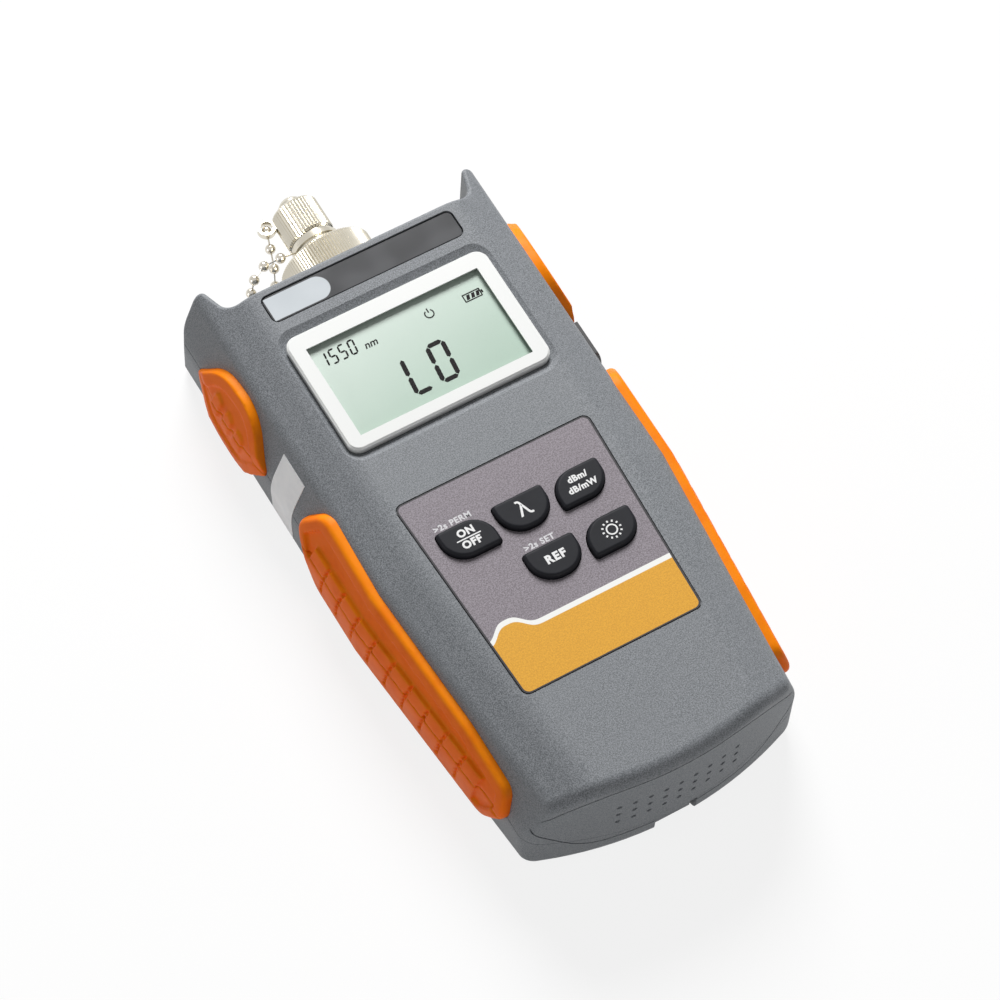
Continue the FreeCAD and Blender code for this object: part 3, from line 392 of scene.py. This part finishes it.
# %% Keypad film
LINE_Y, LINE_WIDE = 14.0, 1.25            # how far above the film's lower edge, and how wide
HUMP_X, HUMP_TALL, HUMP_WIDE = 7.4, 3.3, 4.0
FILM_CORNER, FILM_LEAN = 1.8, 2.3         # the corners' radius, and how far a side leans in over the film's height
EDGE_WIDE = 0.33
PRINT_SOFT = 0.06


def film_edge(x, y, lo, hi):
    """1 within the thin dark edge of the film."""
    centre, half = (lo + hi) / 2, (hi - lo) / 2
    half_here = half.x - FILM_LEAN * (hi.y - y) / (hi.y - lo.y)
    beyond_x = (abs(x - centre.x) - half_here + FILM_CORNER).most(0.0)
    beyond_y = (abs(y - centre.y) - (half.y - FILM_CORNER)).most(0.0)
    inside = FILM_CORNER - (beyond_x * beyond_x + beyond_y * beyond_y).root()
    return 1 - inside.past(EDGE_WIDE, 0.05)


def keypad_film():
    f = Finish("keypad_film")
    x, y, lo, hi = f.on("keypad_plate")
    bell = (x - (lo.x + HUMP_X)) / HUMP_WIDE
    line = (-(bell * bell * abs(bell))).exp() * HUMP_TALL + (lo.y + LINE_Y)
    rise = y - line
    white = rise.past(-LINE_WIDE / 2, PRINT_SOFT) * (1 - rise.past(LINE_WIDE / 2, PRINT_SOFT))
    grain, speck = f.speckle(0.32, 0.14)
    mauve = f.mix(speck, rgb(108, 100, 106), rgb(150, 143, 150))
    yellow = f.mix(speck, rgb(206, 146, 28), rgb(228, 168, 44))
    colour = f.mix(rise.past(0.0, PRINT_SOFT), yellow, mauve)
    colour = f.mix(white, colour, rgb(240, 240, 236))
    colour = f.mix(film_edge(x, y, lo, hi), colour, rgb(44, 42, 46))
    return f.surface(Base_Color=colour, Roughness=0.46 + speck * 0.1, Normal=f.bump(grain, 0.02),
                     Specular_IOR_Level=0.3)


dress(keypad_film(), "keypad_plate")

# %% [markdown]
# ## Keys
#
# The keys are charcoal silicone with a satin skin. Silicone is never quite even, so a little noise moves both its
# colour and its roughness. Like the grips they are melted, on a finer grid, because their edges are smaller.

# %% Key rubber
KEYS = ["key_power", "key_wavelength", "key_unit", "key_reference", "key_backlight"]


def key_rubber():
    f = Finish("key_rubber")
    tone, grain = f.noise(3.0), f.noise(0.25)
    colour = f.mix(tone, rgb(22, 23, 27), rgb(32, 33, 38))
    return f.surface(Base_Color=colour, Roughness=0.44 + grain * 0.18, Normal=f.bump(grain, 0.012),
                     Specular_IOR_Level=0.14)


KEY_RUBBER = key_rubber()
dress(KEY_RUBBER, *KEYS)
for node in KEYS:
    soften(node, KEY_CELL, KEY_RUBBER, node)

# %% [markdown]
# ## Plated metal
#
# The port, its ring, the cap and the chain are brass with a bright nickel plate. Nickel is a little warmer than
# chrome. Turning leaves fine rings round the axis, so a noise that is squashed along the port gives faint lines.

# %% Plated metal
SQUASH = 12.0
TARNISH = 16                              # how much darker the plate is in places


def plated(name, rough, warm):
    f = Finish(name)
    squashed = f.node("ShaderNodeMapping", None, {"Vector": f.place(), "Scale": (1.0, SQUASH, 1.0)})
    rings = f.noise(1.6, detail=3.0, where=squashed)
    tone = f.noise(3.5)
    colour = f.mix(tone, rgb(*warm), rgb(*(c - TARNISH for c in warm)))
    return f.surface(Base_Color=colour, Metallic=1.0, Roughness=rough + rings * 0.1, Normal=f.bump(rings, 0.004))


BEAD_NICKEL = plated("bead_nickel", 0.10, (228, 222, 210))
dress(plated("plated_nickel", 0.16, (226, 220, 205)), "adapter_ring", "adapter_neck", "dust_cap", "cap_stud",
      "cap_eyelet", "detector_barrel", "chain_loop")
dress(BEAD_NICKEL, "chain_balls", "chain_links")

# %% [markdown]
# ## Small and hidden pieces
#
# What sits inside shows only when the battery door or the socket cover is open, but each piece still has its own
# finish: a green circuit board, tin-plated contacts, printed cell jackets, black rubber and a ground ceramic sleeve.

# %% Small and hidden pieces
JACKET_TOP = 0.7                          # where a cell's coloured top begins, as a share of the row's length


def plain(name, first, second, size, rough, metal=0.0):
    """A finish for small pieces: noise between two tones."""
    f = Finish(name)
    tone = f.noise(size, detail=3.0)
    return f.surface(Base_Color=f.mix(tone.ramp(0.3, 0.7), rgb(*first), rgb(*second)), Metallic=metal,
                     Roughness=rough + tone * 0.12, Normal=f.bump(tone, 0.01))


def cell_jacket():
    f = Finish("cell_jacket")
    _, y, lo, hi = f.on("battery_cells")
    band = ((y - lo.y) / (hi.y - lo.y)).past(JACKET_TOP, 0.0025)
    tone = f.noise(5.0)
    jacket = f.mix(tone, rgb(30, 32, 38), rgb(44, 46, 52))
    return f.surface(Base_Color=f.mix(band, jacket, rgb(196, 142, 74)), Roughness=0.3 + tone * 0.1,
                     Metallic=band * 0.6)


dress(plain("circuit_green", (18, 84, 48), (30, 104, 60), 2.0, 0.35), "main_board", "detector_card")
dress(plain("zinc_steel", (168, 168, 170), (140, 141, 144), 1.0, 0.25, metal=1.0), "board_screws", "case_screws")
dress(plain("tin_plate", (190, 188, 180), (160, 158, 150), 1.5, 0.25, metal=1.0), "battery_contacts", "key_domes",
      "data_socket")
dress(plain("gilt_can", (206, 174, 104), (180, 150, 84), 1.5, 0.25, metal=1.0), "photodiode", "photodiode_leads")
dress(plain("ground_ceramic", (240, 240, 234), (226, 226, 220), 1.0, 0.25), "ferrule_sleeve")
dress(plain("black_rubber", (22, 22, 23), (34, 34, 35), 0.6, 0.5), "socket_cover")
dress(plain("mat_silicone", (36, 37, 39), (50, 51, 53), 0.8, 0.5), "keypad_mat", "display_holder")
dress(plain("milky_guide", (226, 236, 228), (214, 226, 218), 8.0, 0.3), "backlight_guide")
dress(plain("label_white", (252, 252, 252), (244, 245, 246), 3.0, 0.4), "seal_label")
dress(cell_jacket(), "battery_cells")


# %% [markdown]
# ## Flat figures
#
# Display figures and some legends are thin shapes. `flat_piece` turns closed outlines into one mesh at a given
# height. `stroke` makes the outline of a straight bar and `arc` that of a bent one, which is all that icons need.

# %% Flat figures
PRINT_THICK = 0.02
INK_WORN = 12                             # how much darker ink is in places
HAIR = 0.01                               # lifts print off the surface below it
ARC_STEPS = 24


def ink(name, tone):
    f = Finish(name)
    worn = tuple(max(0, c - INK_WORN) for c in tone)
    colour = f.mix(f.noise(0.4), rgb(*tone), rgb(*worn))
    return f.surface(Base_Color=colour, Roughness=0.5, Specular_IOR_Level=0.1)


DARK_SEGMENT = ink("dark_segment", (22, 20, 20))
WHITE_INK = ink("white_ink", (240, 240, 240))
NOTE_INK = ink("note_ink", (222, 221, 224))


def flat_piece(name, outlines, height, material, body):
    """One piece of flat shapes, in millimetres, standing on a height."""
    shape = bmesh.new()
    for outline in outlines:
        face = shape.faces.new([shape.verts.new((x * MM, y * MM, height * MM)) for x, y in outline])
        grown = bmesh.ops.extrude_face_region(shape, geom=[face])["geom"]
        top = [v for v in grown if isinstance(v, bmesh.types.BMVert)]
        bmesh.ops.translate(shape, verts=top, vec=(0, 0, PRINT_THICK * MM))
    bmesh.ops.recalc_face_normals(shape, faces=shape.faces)
    mesh = bpy.data.meshes.new(name)
    shape.to_mesh(mesh)
    shape.free()
    piece_of(name, mesh, material, body)
    print(name, "has", len(outlines), "shapes")


def stroke(a, b, wide):
    """The outline of a bar from a to b, with square ends."""
    a, b = Vector(a), Vector(b)
    along = (b - a).normalized()
    side = Vector((-along.y, along.x)) * wide / 2
    return [a - side, b - side, b + side, a + side]


def arc(centre, radius, start, stop, wide):
    """The outline of a bent bar, its angles in degrees."""
    turns = [math.radians(start + (stop - start) * i / ARC_STEPS) for i in range(ARC_STEPS + 1)]
    rays = [Vector((math.cos(t), math.sin(t))) for t in turns]
    outer = [Vector(centre) + ray * (radius + wide / 2) for ray in rays]
    inner = [Vector(centre) + ray * (radius - wide / 2) for ray in reversed(rays)]
    return outer + inner


# %% [markdown]
# ## Figures on the display
#
# A seven-segment figure is seven bars with pointed ends, leaning a little to the right. Each figure is a string of
# the segments that are dark, named a to g as on every data sheet: a is the top bar, then clockwise, and g is the
# middle bar.

# %% Figures on the display
LEAN = 0.10                               # how far a figure leans over, for each millimetre of its height
GAP = 0.12                                # between segments, as a share of a bar's width
SHOWS = {"0": "abcdef", "1": "bc", "5": "acdfg", "L": "def"}


def segment(name, wide, tall, bar):
    """The outline of one segment of a figure that is wide by tall, before it leans."""
    gap, h, m = bar * GAP, bar / 2, tall / 2
    if name in "adg":
        y = {"a": tall - h, "d": h, "g": m}[name]
        left, right = h + gap, wide - h - gap
        return [(left, y), (left + h, y + h), (right - h, y + h), (right, y), (right - h, y - h), (left + h, y - h)]
    x = h if name in "ef" else wide - h
    foot, head = (m + gap, tall - h - gap) if name in "bf" else (h + gap, m - gap)
    return [(x, foot), (x + h, foot + h), (x + h, head - h), (x, head), (x - h, head - h), (x - h, foot + h)]


def word(text, corner, wide, tall, bar, pitch):
    """Several figures side by side, as outlines."""
    shapes = []
    for i, letter in enumerate(text):
        start = corner.x + i * pitch
        for name in SHOWS[letter]:
            shapes.append([(start + x + y * LEAN, corner.y + y) for x, y in segment(name, wide, tall, bar)])
    return shapes


def battery_icon(at, half_long=2.2, half_tall=0.95, wall=0.28):
    """Four walls, a nub on the right and three slanted bars of charge."""
    across, up = Vector((half_long, 0)), Vector((0, half_tall))
    end, rise = Vector((half_long - 0.1, 0)), Vector((0, half_tall + 0.05))
    walls = [stroke(at - across + up * side, at + across + up * side, wall) for side in (-1, 1)]
    walls += [stroke(at + end * side - rise, at + end * side + rise, wall) for side in (-1, 1)]
    nub = [stroke(at + Vector((2.5, -0.4)), at + Vector((2.5, 0.4)), 0.4)]
    slanted_bar = ((-0.75, -0.62), (0.05, -0.62), (0.45, 0.62), (-0.35, 0.62))
    charge = [[at + Vector((x + start, y)) for x, y in slanted_bar] for start in (-0.9, 0.35, 1.55)]
    return walls + nub + charge


def power_icon(at):
    return [arc(at, 1.05, 125, 415, 0.3), stroke(at + Vector((0, 0.3)), at + Vector((0, 1.5)), 0.3)]


GLASS_TOP = high("lcd_panel").z + 2 * HAIR
view = middle("lcd_panel").xy
figures = word("1550", view + Vector((-20.7, 6.7)), wide=1.75, tall=4.0, bar=0.42, pitch=2.42)
figures += word("L0", view + Vector((-6.1, -9.5)), wide=5.0, tall=10.6, bar=1.1, pitch=6.7)
figures += battery_icon(view + Vector((18.0, 7.4)))
figures += power_icon(view + Vector((7.1, 7.9)))
flat_piece("display_figures", figures, GLASS_TOP, DARK_SEGMENT, "case")


# %% [markdown]
# ## Lettering
#
# Unit names and key legends are ordinary text. A text object is easy to place and edit; `offset` fattens its strokes
# into the bold print of a keypad. Each legend rides on the body that carries it, so it goes down with its key.

# %% Lettering
def lettering(name, words, size, at, body, material, bold, spread=1.0, shear=0.0):
    text = bpy.data.curves.new(name, "FONT")
    text.body, text.size, text.offset, text.shear = words, size * MM, bold * MM, shear
    text.align_x, text.align_y, text.space_character = "CENTER", "CENTER", spread
    text.extrude, text.fill_mode, text.resolution_u = PRINT_THICK / 2 * MM, "BOTH", 4
    piece_of(name, text, material, body, at)


def on_key(key, up=0.0):
    """A point on a key's top, so far above its middle."""
    return middle(key).xy.to_3d() + Vector((0, up, high(key).z + HAIR))


def legend(name, words, size, key, up, bold, spread=1.0):
    lettering(name, words, size, on_key(key, up), key, WHITE_INK, bold, spread)


def sun(at):
    """A ring and short rays."""
    rays = [Vector((math.cos(t), math.sin(t))) for t in (math.radians(30 * i) for i in range(12))]
    bars = [stroke(at + ray * 1.85, at + ray * 2.35, 0.4) for ray in rays]
    return bars + [arc(at, 1.2, 0, 180, 0.36), arc(at, 1.2, 180, 360, 0.36)]


lettering("unit_nm", "nm", 2.6, (view.x - 8.3, view.y + 7.5, GLASS_TOP), "case", DARK_SEGMENT, 0.05, shear=0.2)
legend("legend_on", "ON", 2.5, "key_power", 1.45, 0.12, 1.12)
legend("legend_off", "OFF", 2.5, "key_power", -1.5, 0.12, 1.12)
spot, reach = on_key("key_power"), Vector((3.0, 0))
bar = stroke(spot.xy - reach, spot.xy + reach, 0.3)
flat_piece("legend_bar", [bar], spot.z, WHITE_INK, "key_power")
legend("legend_lambda", "λ", 5.4, "key_wavelength", 0.2, 0.04)
legend("legend_dbm", "dBm/", 2.15, "key_unit", 1.35, 0.09, 1.08)
legend("legend_mw", "dB/mW", 2.15, "key_unit", -1.2, 0.09, 1.08)
legend("legend_ref", "REF", 2.8, "key_reference", 0.2, 0.14, 1.2)
spot = on_key("key_backlight")
flat_piece("legend_sun", sun(spot.xy), spot.z, WHITE_INK, "key_backlight")

film_top = high("keypad_plate").z + HAIR
for note, key in ((">2s PERM", "key_power"), (">2s SET", "key_reference")):
    spot = middle(key)
    lettering("note_" + key, note, 2.05, (spot.x - 1.0, spot.y + 5.5, film_top), "case", NOTE_INK,
              0.075, 1.12)
print("legends ride on", KEYS)

# %% [markdown]
# ## Bead chain
#
# The CAD chain has beads with flats, which is enough for contact. The real beads are rolled from tube and are smooth,
# so each is remade as a fine ball with a faint seam, at the middle of its CAD bead. The beads are found by following
# the edges of the CAD node: what can't be reached from a bead is another bead.

# %% Bead chain
SEAM_TALL = 0.09                          # as a share of a bead's radius
SEAM_SHRINK = 0.965


def islands(node):
    """The separate lumps of a CAD node, each as a list of points."""
    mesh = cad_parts[node].data
    owner = list(range(len(mesh.vertices)))

    def find(i):
        while owner[i] != i:
            owner[i] = owner[owner[i]]
            i = owner[i]
        return i

    merged = {}
    for v in mesh.vertices:
        owner[v.index] = merged.setdefault(tuple(round(c, 6) for c in v.co), v.index)
    for edge in mesh.edges:
        owner[find(edge.vertices[0])] = find(edge.vertices[1])
    lumps = {}
    for v in mesh.vertices:
        lumps.setdefault(find(v.index), []).append(v.co.copy())
    return list(lumps.values())


def beads(lumps):
    """Fine balls in the places of lumps."""
    shape = bmesh.new()
    for lump in lumps:
        least, most = (Vector([pick(p[i] for p in lump) for i in range(3)]) for pick in (min, max))
        radius = (most.x - least.x) / 2
        ball = bmesh.ops.create_uvsphere(shape, u_segments=40, v_segments=24, radius=radius)["verts"]
        for v in ball:
            if abs(v.co.z) < radius * SEAM_TALL:
                v.co.xy *= SEAM_SHRINK
        bmesh.ops.translate(shape, verts=ball, vec=(least + most) / 2)
    for face in shape.faces:
        face.smooth = True
    mesh = bpy.data.meshes.new("chain_beads")
    shape.to_mesh(mesh)
    shape.free()
    return mesh


cad_beads = islands("chain_balls")
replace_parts(piece_of("chain_beads", beads(cad_beads), BEAD_NICKEL, "dust_cap"), "chain_balls")
print(len(cad_beads), "beads remade")

# %% [markdown]
# ## Studio
#
# A plain pale floor carries a soft shadow. The picture's ground should be white, but the light on the meter should
# not be: so the floor adds light of its own only where it is seen, straight or in a mirror, and the air does the
# same, while the lamps stay at a level where a colour renders as it is written. The key light stands behind the
# meter and to its right, low enough to miss the mirror directions of the lens and the strip; the fill and side
# lights are weak and only open the shadows. The floor lies a hair below the case's back, so that the two never share
# a plane.

# %% Studio
FLOOR_OWN_LIGHT, FLOOR_STRENGTH, FLOOR_GREY = 0.75, 1.12, 0.6
FLOOR_SIZE, FLOOR_DROP = 6.0, 0.1         # in metres and in millimetres
AIR_SEEN, AIR_FALLING = 0.8, 0.12
WHITE = (1.0, 1.0, 1.0, 1.0)
LAMPS = {                                 # place in metres, diameter in metres, watts
    "key_light": ((0.5, 1.2, 1.05), 0.8, 40.0),
    "fill_light": ((0.1, -1.4, 0.35), 0.9, 4.0),
    "side_light": ((-1.4, 0.1, 0.25), 0.9, 4.0),
}


def floor_white():
    f = Finish("floor_white")
    matt = f.node("ShaderNodeBsdfDiffuse", None, {"Color": (FLOOR_GREY, FLOOR_GREY, FLOOR_GREY, 1.0)})
    white = f.node("ShaderNodeEmission", None, {"Color": WHITE, "Strength": FLOOR_STRENGTH})
    return f.end(f.node("ShaderNodeMixShader", None, {0: f.seen() * FLOOR_OWN_LIGHT, 1: matt, 2: white}))


def studio_floor():
    bpy.ops.mesh.primitive_plane_add(size=FLOOR_SIZE, location=(0, 0, -FLOOR_DROP * MM))
    floor = bpy.context.object
    floor.name = "floor"
    floor.data.materials.append(floor_white())


def studio_air():
    f = Finish("studio_air", "worlds")
    strength = f.seen() * (AIR_SEEN - AIR_FALLING) + AIR_FALLING
    bpy.context.scene.world = f.end(f.node("ShaderNodeBackground", None, {"Color": WHITE, "Strength": strength}))


def lamp(name, at, size, power):
    light = bpy.data.lights.new(name, "AREA")
    light.shape, light.size, light.energy = "DISK", size, power
    stand = bpy.data.objects.new(name, light)
    bpy.context.scene.collection.objects.link(stand)
    stand.location = at
    stand.rotation_euler = (-Vector(at)).to_track_quat("-Z", "Y").to_euler()


studio_floor()
studio_air()
for name, (at, size, power) in LAMPS.items():
    lamp(name, at, size, power)
bpy.context.scene.view_settings.view_transform = "Standard"
print("studio has", len(LAMPS), "lamps")
